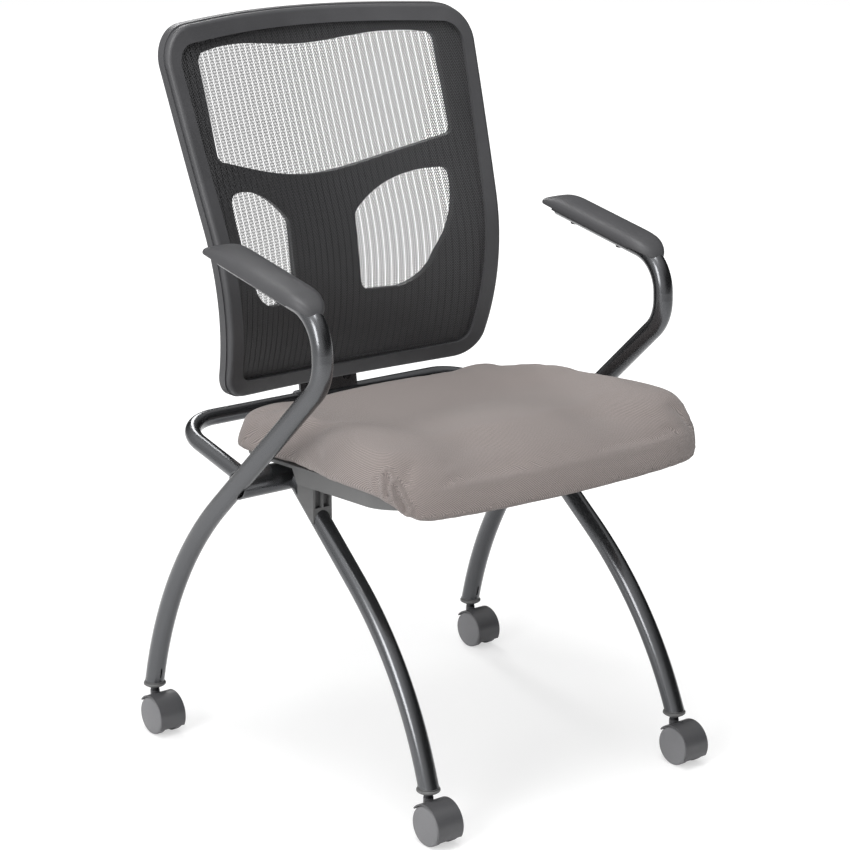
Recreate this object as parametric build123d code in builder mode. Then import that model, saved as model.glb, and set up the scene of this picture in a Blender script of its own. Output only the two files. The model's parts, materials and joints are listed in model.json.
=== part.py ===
from build123d import *
import math
import os

os.makedirs("parts", exist_ok=True)

# Nesting chair on casters, with a mesh back, loop arms and a flip-up seat. Millimetres.
# +Z is up, the sitter faces -Y and the sitter's right is -X. The origin is on the floor,
# under the middle of the chair's bounding box.

SIDES = (("right", -1), ("left", 1))
CORNERS = (
    ("rear_right", "rear", -1),
    ("rear_left", "rear", 1),
    ("front_right", "front", -1),
    ("front_left", "front", 1),
)

# ---------------------------------------------------------------- driving dimensions
tube_d = 25.0
tube_wall = 2.0
rear_track = 533.0
front_track = 398.0
wheel_base = 496.0

# casters
wheel_d = 50.0
wheel_width = 11.7
wheel_gap = 13.6
wheel_trail = 16.5
axle_d = 6.0
fender_gap = 1.0
fender_wall = 1.6
fender_rear_angle = 52.0
fender_front_angle = 120.0
stem_d = 8.0
neck_d = 11.5
stem_depth = 18.0
collar_d = 29.0
collar_height = 8.5
neck_gap = 5.0
swivel_clearance = 0.05

# side frames: one tube from the rear foot up to the arm
foot_lean = 14.5
diagonal_lean = 47.8
riser_lean = 1.4
arm_slope = 11.0
foot_run = 175.0
diagonal_run = 462.0
riser_run = 78.0
arm_run = 200.0
foot_straight = 12.0
elbow_bend_r = 54.0
slit_length = 14.0
slit_width = 2.5
slit_rise = 14.0

# frame under the seat
beam_d = 36.0
beam_along_diagonal = 216.0
leg_top_ahead = 13.0
leg_top_drop = 3.0
leg_top_inset = 49.5
leg_slope = 38.4
leg_upper_run = 291.0
hoop_d = 21.0
hoop_width = 472.0
hoop_y = 228.0
hoop_z = 413.5
hoop_bend_r = 58.0
hoop_drop_at_beam = 9.0

# seat
seat_tilt = 3.9
seat_front_width = 470.0
seat_rear_width = 424.0
seat_ahead_of_hinge = 282.0
seat_behind_hinge = 98.0
front_bow = 24.0
rear_bow = 6.0
seat_front_corner_r = 62.0
seat_rear_corner_r = 70.0
panel_wall = 4.0
skirt_wall = 3.0
skirt_height = 22.0
skirt_end = 50.0
skirt_rake = 12.0
rib_height = 11.0
rib_thick = 2.5
bush_wall = 3.4
bush_length = 44.0
strap_wall = 3.0
strap_spacing = 236.0
strap_ear = 20.0
flange_thick = 2.0
board_thick = 12.0
board_inset = 26.0
cushion_height = 50.0
cushion_lip = 29.0
cushion_edge_r = 24.0
pan_inset = 1.5
pan_rear_inset = 4.0
front_wrap = 14.0
landing_ahead = 52.0
landing_length = 30.0
landing_width = 24.0
rest_gap = 0.3
seat_range = 78.0
stop_thick = 5.0
stop_width = 30.0
stop_reach = 44.0

# blocks on the front legs that the seat lands on
block_width = 28.0
block_rear_y = 10.0
block_front_y = -23.0
block_pocket = 6.0

# back
lumbar_z = 577.0
lumbar_y = 124.5
lumbar_r = 290.0
recline = 19.5
back_hollow = 41.0
quarter_hollow = 0.6
window_v_rise = 255.0
boss_half = 56.0
boss_top_z = 546.0
back_bottom_z = 454.0
back_top_z = 924.0
back_bottom_width = 412.0
back_top_width = 492.0
back_side_bulge = 3.0
back_bottom_bow = 11.0
back_top_bow = 8.0
back_bottom_corner_r = 42.0
back_top_corner_r = 48.0
bezel_face = 22.0
bezel_depth = 9.0
bezel_inset = 1.5
bezel_round = 5.0
bezel_lip = 5.0
mesh_seat = 8.0
mesh_thick = 1.2
shell_ring_depth = 13.0
shell_ring_lap = 2.0
shell_web = 6.0
spine_foot_y = 208.5
spine_foot_z = 470.0
spine_half = 52.0
back_margin = 12.0
shell_sections = 9
window_side = 188.0
window_corner_r = 12.0

# bracket between the hoop and the back shell
bracket_half = 46.0
bracket_thick = 4.0
bracket_top_z = 535.0
bracket_wall = 3.0
bracket_corner_r = 14.0

# arm pads
pad_width = 52.0
pad_rise = 18.0
pad_skirt = 4.0
pad_wall = 2.5
pad_overhang = 22.0
pad_nose = -5.0
pad_nose_run = 42.0
pad_lip = 3.0
pad_fall = 26.0
pad_fall_r = 110.0
arm_screw_rear = 28.0
arm_screw_front = 118.0
arm_screw_head_h = 1.0
arm_screw_reach = 12.0
plug_lip = 3.0
plug_depth = 12.0

# screws
screw_d = 5.0
screw_head_d = 9.5
screw_head_h = 3.0
seat_screw_reach = 15.0
bracket_screw_reach = 10.0
bracket_screw_x = 30.0
bracket_low_screw_z = 482.0
bracket_high_screw_z = 518.0
front_screw_v = -33.0

# ---------------------------------------------------------------- derived positions
tube_r = tube_d / 2
wheel_r = wheel_d / 2
beam_r = beam_d / 2
hoop_r = hoop_d / 2
fender_r = wheel_r + fender_gap + fender_wall
collar_z = fender_r + wheel_r + neck_gap
foot_z = collar_z + collar_height
rear_stem_y = wheel_base / 2
front_stem_y = -wheel_base / 2


def step_from(point, run, lean):
    """Point reached from (y, z) by a run that leans forward by an angle from the vertical."""
    y, z = point
    return (y - run * math.sin(math.radians(lean)), z + run * math.cos(math.radians(lean)))


foot = (rear_stem_y, foot_z)
knee = step_from(foot, foot_run, foot_lean)
elbow = step_from(knee, diagonal_run, diagonal_lean)
grip = step_from(elbow, riser_run, -riser_lean)
arm_end = step_from(grip, arm_run, arm_slope - 90)
hinge_y, hinge_z = step_from(knee, beam_along_diagonal, diagonal_lean)
leg_top = (hinge_y - leg_top_ahead, hinge_z - leg_top_drop)
leg_top_spread = seat_front_width - 2 * leg_top_inset
leg_knee = step_from(leg_top, -leg_upper_run, leg_slope - 90)


def widest_bend(start, corner, end):
    """Bend radius at a corner that leaves its shorter run straight only next to the foot."""
    before = Vector(*corner) - Vector(*start)
    after = Vector(*end) - Vector(*corner)
    turn = math.radians(before.get_angle(after))
    return (min(before.length, after.length) - foot_straight) / math.tan(turn / 2)


foot_bend_r = widest_bend(foot, knee, elbow)
leg_bend_r = widest_bend((front_stem_y, foot_z), leg_knee, leg_top)
beam_length = rear_track

seat_plane = Plane(
    origin=(0, hinge_y, hinge_z),
    x_dir=(1, 0, 0),
    z_dir=(0, math.sin(math.radians(seat_tilt)), math.cos(math.radians(seat_tilt))),
)
seat_side = Plane(origin=seat_plane.origin, x_dir=seat_plane.y_dir, z_dir=(1, 0, 0))
open_turn = math.radians(seat_tilt + seat_range)
seat_open_side = Plane(
    origin=seat_plane.origin,
    x_dir=(0, math.cos(open_turn), -math.sin(open_turn)),
    z_dir=(1, 0, 0),
)
bush_r = beam_r + bush_wall
strap_r = bush_r + strap_wall
panel_h = bush_r + 0.1
board_h = panel_h + panel_wall
skirt_bottom_h = board_h - skirt_height
rest_h = skirt_bottom_h + 4
cushion_top_h = board_h + cushion_height
shell_depth = shell_ring_depth + bezel_depth - bezel_lip
block_x = leg_top_spread / 2 + 1.2
lumbar_axis_y = lumbar_y + lumbar_r
recline_start_z = lumbar_z + lumbar_r * math.sin(math.radians(recline))


def front_y(z):
    """Depth of the back's front edge at its sides, at a height."""
    if z > recline_start_z:
        start = lumbar_axis_y - lumbar_r * math.cos(math.radians(recline))
        return start + (z - recline_start_z) * math.tan(math.radians(recline))
    return lumbar_axis_y - math.sqrt(lumbar_r ** 2 - (z - lumbar_z) ** 2)


spine_top_y = front_y(back_top_z) + back_hollow + bezel_lip
spine_slope = (spine_top_y - spine_foot_y) / (back_top_z - spine_foot_z)
boss_plane = Plane(
    origin=(0, spine_foot_y + shell_depth, spine_foot_z),
    x_dir=(1, 0, 0),
    z_dir=(0, -1, spine_slope),
)


def save(part, name):
    """Label a finished piece and write it as a STEP file."""
    part.label = name
    export_step(part, f"parts/{name}.step")


# ---------------------------------------------------------------- tubes of the frame
def tube_along(plane, points, radii, outer_d, wall):
    """Round tube swept along straight runs with tangent bends."""
    with BuildPart() as tube:
        with BuildLine(plane) as route:
            FilletPolyline(*points, radius=radii)
        with BuildSketch(Plane(origin=route.line @ 0, z_dir=route.line % 0)):
            Circle(outer_d / 2)
            if wall:
                Circle(outer_d / 2 - wall, mode=Mode.SUBTRACT)
        sweep(path=route.line)
    return tube.part


def side_points():
    """Corner points of a side frame tube, started a little under its cut foot."""
    return [step_from(foot, -tube_r, foot_lean), knee, elbow, grip, arm_end]


def side_tube(sx, outer_d=tube_d, wall=tube_wall):
    plane = Plane.YZ.offset(sx * rear_track / 2)
    return tube_along(plane, side_points(), [foot_bend_r, elbow_bend_r, elbow_bend_r], outer_d, wall)


def leg_plane(sx):
    """Plane of a front leg, which leans inward from the foot to the beam."""
    rise = leg_top[1] - foot_z
    lean_in = (front_track - leg_top_spread) / 2
    up = Vector(-sx * lean_in, 0, rise).normalized()
    return Plane(
        origin=(sx * front_track / 2, 0, foot_z),
        x_dir=(0, 1, 0),
        z_dir=Vector(0, 1, 0).cross(up),
    )


def leg_tube(sx, outer_d=tube_d, wall=tube_wall):
    start = step_from((front_stem_y, foot_z), -tube_r, -leg_foot_lean())
    points = [(y, z - foot_z) for y, z in (start, leg_knee, leg_top)]
    return tube_along(leg_plane(sx), points, [leg_bend_r], outer_d, wall)


def leg_foot_lean():
    """Lean of the front leg's lower run from the vertical, in degrees."""
    return math.degrees(math.atan2(leg_knee[0] - front_stem_y, leg_knee[1] - foot_z))


def hoop_path():
    """Route of the hoop: from the beam back, across behind the seat and forward again."""
    reach = hoop_y - hinge_y
    drop = hoop_z - (hinge_z - hoop_drop_at_beam)
    plane = Plane(
        origin=(0, hoop_y, hoop_z),
        x_dir=(1, 0, 0),
        z_dir=(0, -drop, reach),
    )
    run = math.hypot(reach, drop)
    half = hoop_width / 2
    points = [(-half, -run), (-half, 0), (half, 0), (half, -run)]
    return plane, points


def hoop_tube(outer_d=hoop_d, wall=tube_wall):
    plane, points = hoop_path()
    return tube_along(plane, points, [hoop_bend_r, hoop_bend_r], outer_d, wall)


# ---------------------------------------------------------------- arm pads and their screws
def arm_frame(sx):
    """Plane on the arm's axis: X runs forward along the arm, Z points up, square to it."""
    slope = math.radians(arm_slope)
    return Plane(
        origin=(sx * rear_track / 2, arm_end[0], arm_end[1]),
        x_dir=(0, -math.cos(slope), -math.sin(slope)),
        z_dir=(0, -math.sin(slope), math.cos(slope)),
    )


def arm_side_plane(sx):
    """The same frame turned on its side, so that a profile of the arm can be drawn in it."""
    frame = arm_frame(sx)
    return Plane(origin=frame.origin, x_dir=frame.x_dir, z_dir=frame.y_dir * -1)


def arm_tip_plane(sx):
    """Plane across the open end of the arm's tube, facing out of it."""
    slope = math.radians(arm_slope)
    return Plane(
        origin=(sx * rear_track / 2, arm_end[0], arm_end[1]),
        z_dir=(0, math.cos(slope), math.sin(slope)),
    )


def pad_cross_section():
    """Half width against height: a crowned cap with rolled edges and a thin lip."""
    half = pad_width / 2
    with BuildSketch() as section:
        with BuildLine():
            crown = ThreePointArc((6 - half, pad_rise - 4), (0, pad_rise), (half - 6, pad_rise - 4))
            right = ThreePointArc(crown @ 1, (half - 1.4, pad_rise - 8), (half, pad_lip + 2))
            left = ThreePointArc(crown @ 0, (1.4 - half, pad_rise - 8), (-half, pad_lip + 2))
            Polyline(right @ 1, (half - 1.5, pad_lip), (tube_r, 0), (-tube_r, 0), (1.5 - half, pad_lip), left @ 1)
        make_face()
    return section.sketch


def arm_pad(sx):
    """Moulded armrest: a cap that falls at the nose, a cradle on the tube, and a thin tail."""
    bend = elbow_bend_r * math.tan(math.radians((90 - arm_slope - riser_lean) / 2))
    flat = arm_run - bend
    tip = arm_run + pad_nose
    half = pad_width / 2 + 1
    frame = arm_frame(sx)
    across = pad_cross_section()
    with BuildPart() as pad:
        with BuildLine(arm_side_plane(sx)) as route:
            run = Line((-pad_overhang, 0), (flat, 0))
            JernArc(run @ 1, run % 1, pad_fall_r, -pad_fall)
        with BuildSketch(Plane(origin=route.line @ 0, x_dir=(1, 0, 0), z_dir=frame.x_dir)):
            add(across)
        sweep(path=route.line)
        with BuildSketch(arm_side_plane(sx)):
            with BuildLine():
                back = Polyline((24, pad_rise + 1), (tip, pad_rise + 1), (tip, -pad_width), (2, -pad_width), (2, 0.4))
                lip = ThreePointArc(back @ 1, (-4, 0.9), (3 - pad_overhang, 2.5))
                end = ThreePointArc(lip @ 1, (-pad_overhang, 6.5), (4 - pad_overhang, 11))
                ThreePointArc(end @ 1, (6, 16), back @ 0)
            make_face()
        extrude(amount=pad_width, both=True, mode=Mode.INTERSECT)
        with BuildSketch(frame.offset(-pad_width)):
            with BuildLine():
                inner = Line((8 - pad_overhang, -half), (tip - pad_nose_run, -half))
                nose = EllipticalCenterArc((tip - pad_nose_run, 0), pad_nose_run, half, start_angle=-90, arc_size=180)
                outer = Line(nose @ 1, (8 - pad_overhang, half))
                ThreePointArc(outer @ 1, (-pad_overhang, 0), inner @ 0)
            make_face()
        extrude(amount=2 * pad_width, mode=Mode.INTERSECT)
        with BuildSketch(frame.offset(-pad_skirt)):
            with Locations(((flat + 2) / 2, 0)):
                Rectangle(flat - 2, 2 * (tube_r + pad_wall))
        extrude(amount=pad_skirt + pad_lip)
        add(side_tube(sx, wall=0), mode=Mode.SUBTRACT)
        with BuildSketch(arm_tip_plane(sx)):
            Circle(tube_r)
        extrude(amount=plug_lip, mode=Mode.SUBTRACT)
    return pad.part


def arm_screw_holes(sx, radius, low, high):
    """Two straight pins square to the arm, from one height to another over its axis."""
    with BuildPart() as pins:
        with BuildSketch(arm_frame(sx).offset(low)):
            with Locations((arm_screw_rear, 0), (arm_screw_front, 0)):
                Circle(radius)
        extrude(amount=high - low)
    return pins.part


# ---------------------------------------------------------------- frame pieces
with BuildPart() as beam_bar:
    with BuildSketch(Plane.YZ.offset(-beam_length / 2)):
        with Locations((hinge_y, hinge_z)):
            Circle(beam_r)
    extrude(amount=beam_length)

solid_sides = [side_tube(sx, wall=0) for side, sx in SIDES]

with BuildPart() as cross_beam:
    add(beam_bar.part)
    with BuildSketch(Plane.YZ.offset(-beam_length / 2)):
        with Locations((hinge_y, hinge_z)):
            Circle(beam_r - tube_wall)
    extrude(amount=beam_length, mode=Mode.SUBTRACT)
    add(solid_sides, mode=Mode.SUBTRACT)
    with BuildSketch(seat_open_side.offset(-stop_width / 2)):
        with Locations((0, panel_h - rest_gap)):
            Rectangle(stop_reach, stop_thick, align=(Align.MIN, Align.MAX))
    extrude(amount=stop_width)
save(cross_beam.part, "cross_beam")

for side, sx in SIDES:
    tube = side_tube(sx)
    with BuildPart() as side_frame:
        add(tube)
        split(bisect_by=Plane.XY.offset(foot_z), keep=Keep.TOP)
        add(arm_screw_holes(sx, screw_d / 2, -tube_d, pad_rise), mode=Mode.SUBTRACT)
        with BuildSketch(Plane.XZ.offset(-rear_stem_y)):
            with Locations((sx * rear_track / 2, foot_z + slit_rise)):
                SlotOverall(slit_length, slit_width, rotation=90)
        extrude(amount=tube_d, mode=Mode.SUBTRACT)
    save(side_frame.part, f"side_frame_{side}")

    tube = leg_tube(sx)
    with BuildPart() as front_leg:
        add(tube)
        split(bisect_by=Plane.XY.offset(foot_z), keep=Keep.TOP)
        add(beam_bar.part, mode=Mode.SUBTRACT)
    save(front_leg.part.solids().sort_by(SortBy.VOLUME)[-1], f"front_leg_{side}")

    pad = arm_pad(sx)
    with BuildPart() as drilled_pad:
        add(pad)
        add(arm_screw_holes(sx, screw_d / 2, 0, arm_screw_reach), mode=Mode.SUBTRACT)
    save(drilled_pad.part, f"arm_pad_{side}")

    shanks = arm_screw_holes(sx, screw_d / 2, -tube_r, arm_screw_reach)
    heads = arm_screw_holes(sx, screw_head_d / 2, -tube_r - arm_screw_head_h, 1.2 - tube_r)
    with BuildPart() as arm_screws:
        add(heads)
        add(solid_sides, mode=Mode.SUBTRACT)
        add(shanks)
    save(arm_screws.part, f"arm_screws_{side}")

    with BuildPart() as plug:
        with BuildSketch(arm_tip_plane(sx)):
            Circle(tube_r)
        extrude(amount=plug_lip)
        chamfer(plug.faces().filter_by(GeomType.PLANE).sort_by(Axis.Y)[-1].edges(), length=plug_lip / 2)
        with BuildSketch(arm_tip_plane(sx)):
            Circle(tube_r - tube_wall)
        extrude(amount=-plug_depth)
    save(plug.part, f"arm_plug_{side}")

hoop = hoop_tube()
with BuildPart() as back_hoop:
    add(hoop)
    add(beam_bar.part, mode=Mode.SUBTRACT)
save(back_hoop.part.solids().sort_by(SortBy.VOLUME)[-1], "back_hoop")


# ---------------------------------------------------------------- sockets in the four feet
def socket_pose(row, sx):
    """Foot centre and the direction of the tube above it."""
    if row == "rear":
        lean = math.radians(foot_lean)
        return (sx * rear_track / 2, rear_stem_y, foot_z), (0, -math.sin(lean), math.cos(lean))
    up = leg_plane(sx).y_dir
    lean = math.radians(leg_foot_lean())
    run = Vector(0, math.sin(lean), 0) + up * math.cos(lean)
    return (sx * front_track / 2, front_stem_y, foot_z), tuple(run)


def collar_profile():
    """Half section of the flange: a cone below, a rim, and a groove under the tube."""
    r = collar_d / 2
    z = collar_z
    bore = stem_d / 2 + swivel_clearance
    with BuildSketch(Plane.XZ) as section:
        with BuildLine():
            Polyline((bore, z), (neck_d / 2 + 2.5, z), (r - 1.5, z + 2.5), (r, z + 3.8), (r, z + 5.6),
                     (r - 1.2, z + 6.6), (r - 2.4, z + 6.8), (r - 2.4, z + 7.6), (r - 1.4, z + 7.8),
                     (r - 1.4, foot_z), (bore, foot_z), close=True)
        make_face()
    return section.sketch


collar = collar_profile()
for corner, row, sx in CORNERS:
    base, run = socket_pose(row, sx)
    x, y, z = base
    spigot_plane = Plane(origin=base, z_dir=run)
    with BuildPart() as collar_turn:
        add(collar)
        revolve(axis=Axis.Z)
    with BuildPart() as socket:
        with BuildSketch(spigot_plane.offset(-6)):
            Circle(tube_r - tube_wall - 0.3)
        extrude(amount=22)
        split(bisect_by=Plane.XY.offset(foot_z), keep=Keep.TOP)
        add(collar_turn.part.moved(Location((x, y, 0))))
        with BuildSketch(Plane.XY.offset(collar_z - 1)):
            with Locations((x, y)):
                Circle(stem_d / 2 + swivel_clearance)
        extrude(amount=1 + stem_depth + 0.5, mode=Mode.SUBTRACT)
    save(socket.part, f"foot_socket_{corner}")


# ---------------------------------------------------------------- casters, drawn about the stem
def wheel_profile():
    """Half section of one wheel: width along X, radius along Y, domed outside."""
    inner = wheel_gap / 2
    rim = inner + wheel_width
    bore = axle_d / 2 + swivel_clearance
    with BuildSketch() as section:
        with BuildLine():
            inside = Polyline((rim - 3, 0.01), (rim - 3, bore), (inner, bore), (inner, wheel_r - 5),
                              (inner + 1, wheel_r - 1), (inner + 2, wheel_r), (rim - 3, wheel_r))
            shoulder = ThreePointArc(inside @ 1, (rim - 0.9, wheel_r - 0.9), (rim, wheel_r - 3))
            dome = ThreePointArc(shoulder @ 1, (rim + 1.1, wheel_r / 2), (rim + 1.6, 0.01))
            Line(dome @ 1, inside @ 0)
        make_face()
    return section.sketch


def caster_wheel(sx):
    """One of the twin wheels, on the -X or the +X side of the fork web."""
    hub = Plane(origin=(0, -wheel_trail, wheel_r), x_dir=(sx, 0, 0), z_dir=(0, -sx, 0))
    with BuildPart() as wheel:
        with BuildSketch(hub):
            add(wheel_section)
        revolve(axis=Axis(hub.origin, (1, 0, 0)))
    return wheel.part


def caster_hood():
    """Web between the wheels, stem boss and the fender that wraps over the treads."""
    half_width = wheel_gap / 2 + wheel_width
    spread = fender_front_angle + fender_rear_angle
    boss_r = wheel_gap / 2 - 0.6
    with BuildPart() as hood:
        with BuildSketch(Plane.YZ.offset(-half_width)):
            with Locations((-wheel_trail, wheel_r)):
                Circle(fender_r)
                Circle(wheel_r + fender_gap, mode=Mode.SUBTRACT)
            with BuildLine():
                middle = 90 + (fender_front_angle - fender_rear_angle) / 2
                reach = 3 * fender_r
                start = math.radians(middle - spread / 2)
                turn = math.radians(middle)
                stop = math.radians(middle + spread / 2)
                Polyline(
                    (-wheel_trail, wheel_r),
                    (-wheel_trail + reach * math.cos(start), wheel_r + reach * math.sin(start)),
                    (-wheel_trail + reach * math.cos(turn), wheel_r + reach * math.sin(turn)),
                    (-wheel_trail + reach * math.cos(stop), wheel_r + reach * math.sin(stop)),
                    close=True,
                )
            make_face(mode=Mode.INTERSECT)
        extrude(amount=2 * half_width)
        with BuildSketch(Plane.YZ.offset(1 - boss_r)):
            with Locations((-wheel_trail, wheel_r)):
                Circle(wheel_r - 3)
                with Locations((-wheel_r / 3, wheel_r / 3)):
                    Circle(wheel_r * 0.62)
        extrude(amount=2 * boss_r - 2)
        with BuildSketch(Plane.XY.offset(wheel_r - 4)):
            Circle(boss_r)
        extrude(amount=fender_r + 4)
        with BuildSketch(Plane.XY.offset(wheel_r)):
            Circle(stem_d / 2)
        extrude(amount=fender_r, mode=Mode.SUBTRACT)
        with BuildSketch(Plane.YZ.offset(-boss_r)):
            with Locations((-wheel_trail, wheel_r)):
                Circle(axle_d / 2)
        extrude(amount=2 * boss_r, mode=Mode.SUBTRACT)
    return hood.part


def caster_stem():
    """Turned stem: pressed into the hood, a neck under the collar and a pin in the socket."""
    top = wheel_r + fender_r
    with BuildPart() as stem:
        with BuildSketch(Plane.XY.offset(wheel_r)):
            Circle(stem_d / 2)
        extrude(amount=collar_z + stem_depth - wheel_r)
        with BuildSketch(Plane.XY.offset(top)):
            Circle(neck_d / 2)
        extrude(amount=neck_gap - 0.1)
        chamfer(stem.edges().sort_by(Axis.Z)[-1], length=0.8)
    return stem.part


def caster_axle():
    end = wheel_gap / 2 + wheel_width - 3.2
    with BuildPart() as axle:
        with BuildSketch(Plane.YZ.offset(-end)):
            with Locations((-wheel_trail, wheel_r)):
                Circle(axle_d / 2)
        extrude(amount=2 * end)
    return axle.part


wheel_section = wheel_profile()
caster_pieces = {
    "hood": caster_hood(),
    "stem": caster_stem(),
    "axle": caster_axle(),
    "wheel_outer": caster_wheel(-1),
    "wheel_inner": caster_wheel(1),
}
for corner, row, sx in CORNERS:
    track = rear_track if row == "rear" else front_track
    stem_y = rear_stem_y if row == "rear" else front_stem_y
    for name, piece in caster_pieces.items():
        placed = piece.moved(Location((sx * track / 2, stem_y, 0)))
        save(placed, f"caster_{name}_{corner}")


# ---------------------------------------------------------------- back: curved slabs cut by outlines
def back_outline(inset):
    """Front outline of the back, seen along +Y: bowed top, bottom and sides, round corners."""
    bottom = back_bottom_width / 2 - inset
    top = back_top_width / 2 - inset
    low = back_bottom_z + inset
    high = back_top_z - back_top_bow - inset
    with BuildSketch() as outline:
        with BuildLine():
            foot = ThreePointArc((-bottom, low), (0, low - back_bottom_bow), (bottom, low))
            head = ThreePointArc((top, high), (0, high + back_top_bow), (-top, high))
            middle = (bottom + top) / 2 + back_side_bulge
            ThreePointArc(foot @ 1, (middle, (low + high) / 2), head @ 0)
            ThreePointArc(head @ 1, (-middle, (low + high) / 2), foot @ 0)
        make_face()
        fillet(outline.vertices().group_by(Axis.Y)[0], radius=back_bottom_corner_r - inset)
        fillet(outline.vertices().group_by(Axis.Y)[-1], radius=back_top_corner_r - inset)
    return outline.sketch


def through_back(sketch):
    """The sketch, drawn as seen from the front, run right through the back along Y."""
    with BuildPart() as punch:
        with BuildSketch(Plane(origin=(0, 600, 0), x_dir=(1, 0, 0), z_dir=(0, -1, 0))):
            add(sketch)
        extrude(amount=700)
    return punch.part


def bracket_pins(radius, low, high):
    """Four pins square to the boss, from one depth to another before the bracket's face."""
    low_v = bracket_low_screw_z - spine_foot_z
    high_v = bracket_high_screw_z - spine_foot_z
    with BuildPart() as pins:
        with BuildSketch(boss_plane.offset(low)):
            with Locations((0, (low_v + high_v) / 2)):
                with GridLocations(2 * bracket_screw_x, high_v - low_v, 2, 2):
                    Circle(radius)
        extrude(amount=high - low)
    return pins.part


def hollow_plan(front_side, front_middle, rear_side, rear_middle):
    """Plan of a slab across the back: both faces are level at the sides and hollow between."""
    half = back_top_width / 2 + back_margin
    front_quarter = front_side + quarter_hollow * (front_middle - front_side)
    rear_quarter = rear_side + quarter_hollow * (rear_middle - rear_side)
    level = ((1, 0), (1, 0))
    with BuildSketch() as plan:
        with BuildLine():
            face = Spline((-half, front_side), (-half / 2, front_quarter), (0, front_middle),
                          (half / 2, front_quarter), (half, front_side), tangents=level)
            rear = Spline((-half, rear_side), (-half / 2, rear_quarter), (0, rear_middle),
                          (half / 2, rear_quarter), (half, rear_side), tangents=level)
            Line(face @ 0, rear @ 0)
            Line(face @ 1, rear @ 1)
        make_face()
    return plan.sketch


def side_routes():
    """Side profile of the back as two routes from the lumbar height, one up and one down."""
    high = back_top_z + back_margin
    low = back_bottom_z - back_margin
    half_turn = math.radians(recline) / 2
    with BuildLine(Plane.YZ) as up:
        bend = ThreePointArc(
            (lumbar_y, lumbar_z),
            (lumbar_axis_y - lumbar_r * math.cos(half_turn), lumbar_z + lumbar_r * math.sin(half_turn)),
            (front_y(recline_start_z), recline_start_z),
        )
        Line(bend @ 1, (front_y(high), high))
    with BuildLine(Plane.YZ) as down:
        middle = (lumbar_z + low) / 2
        ThreePointArc((lumbar_y, lumbar_z), (front_y(middle), middle), (front_y(low), low))
    return up.line, down.line


def back_slab(front, rear):
    """Slab that follows the hollow front of the back, between two depths behind it."""
    plan = hollow_plan(lumbar_y + front, lumbar_y + back_hollow + front,
                       lumbar_y + rear, lumbar_y + back_hollow + rear)
    with BuildPart() as slab:
        for route in side_routes():
            with BuildSketch(Plane.XY.offset(lumbar_z)):
                add(plan)
            sweep(path=route, normal=(0, 0, 1))
    return slab.part


def web_slab(thick):
    """Web of the rear shell: its sides follow the bezel and its middle is a straight spine."""
    low = back_bottom_z - back_margin
    rise = (back_top_z + back_margin - low) / (shell_sections - 1)
    with BuildPart() as slab:
        for step in range(shell_sections):
            z = low + step * rise
            side = front_y(z) + bezel_lip
            spine = spine_foot_y + spine_slope * (z - spine_foot_z)
            with BuildSketch(Plane.XY.offset(z)):
                add(hollow_plan(side, spine, side + thick, spine + thick))
        loft()
    return slab.part


def upper_window():
    """Wide opening over the arms of the spine, under a wavy top edge."""
    low = back_bottom_z + window_v_rise
    with BuildSketch() as window:
        with BuildLine():
            head = Spline((-window_side, back_top_z - 44), (-115, back_top_z - 38), (0, back_top_z - 47),
                          (115, back_top_z - 38), (window_side, back_top_z - 44))
            foot = Spline((-window_side, low + 43), (-110, low + 20), (0, low),
                          (110, low + 20), (window_side, low + 43))
            Line(head @ 0, foot @ 0)
            Line(head @ 1, foot @ 1)
        make_face()
        fillet(window.vertices(), radius=window_corner_r)
    return window.sketch


def lower_window():
    """Opening beside the spine, on the +X side."""
    low = back_bottom_z + 97
    high = back_bottom_z + window_v_rise - 8
    with BuildSketch() as window:
        with BuildLine():
            inner = Line((spine_half, low), (spine_half, low + 103))
            arm = ThreePointArc(inner @ 1, (96, high - 10), (window_side - 12, high + 7))
            outer = ThreePointArc(arm @ 1, (window_side - 17, low + 100), (window_side - 40, low + 47))
            corner = ThreePointArc(outer @ 1, (window_side - 61, low + 15), (window_side - 86, low + 2))
            Line(corner @ 1, inner @ 0)
        make_face()
        fillet(window.vertices().filter_by(lambda v: v.Y > high - 60 or v.X < spine_half + 1), radius=window_corner_r)
    return window.sketch


with BuildSketch() as windows:
    add(upper_window())
    right_window = lower_window()
    add(right_window)
    mirror(right_window, about=Plane.YZ)

whole = through_back(back_outline(0))
inner = through_back(back_outline(bezel_face))
seated = through_back(back_outline(bezel_face - mesh_seat))

face_slab = back_slab(0, bezel_depth)
pocket_slab = back_slab(bezel_lip, bezel_depth + 1)
with BuildPart() as back_bezel:
    add(face_slab)
    add(through_back(back_outline(bezel_inset)), mode=Mode.INTERSECT)
    walls = back_bezel.faces().filter_by(lambda f: abs(f.normal_at().Y) < 0.5)
    rim = walls.edges().filter_by(lambda e: (e @ 0.5).Y < front_y((e @ 0.5).Z) + bezel_depth / 2)
    fillet(rim, radius=bezel_round)
    add(inner, mode=Mode.SUBTRACT)
    add(pocket_slab & seated, mode=Mode.SUBTRACT)
save(back_bezel.part, "back_bezel")

sheet_slab = back_slab(bezel_lip, bezel_lip + mesh_thick)
with BuildPart() as mesh_panel:
    add(sheet_slab)
    add(seated, mode=Mode.INTERSECT)
save(mesh_panel.part, "mesh_panel")

strip_slab = back_slab(bezel_lip + mesh_thick, bezel_depth)
with BuildPart() as mesh_strip:
    add(strip_slab)
    add(seated, mode=Mode.INTERSECT)
    add(inner, mode=Mode.SUBTRACT)
save(mesh_strip.part, "mesh_retaining_strip")

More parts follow.
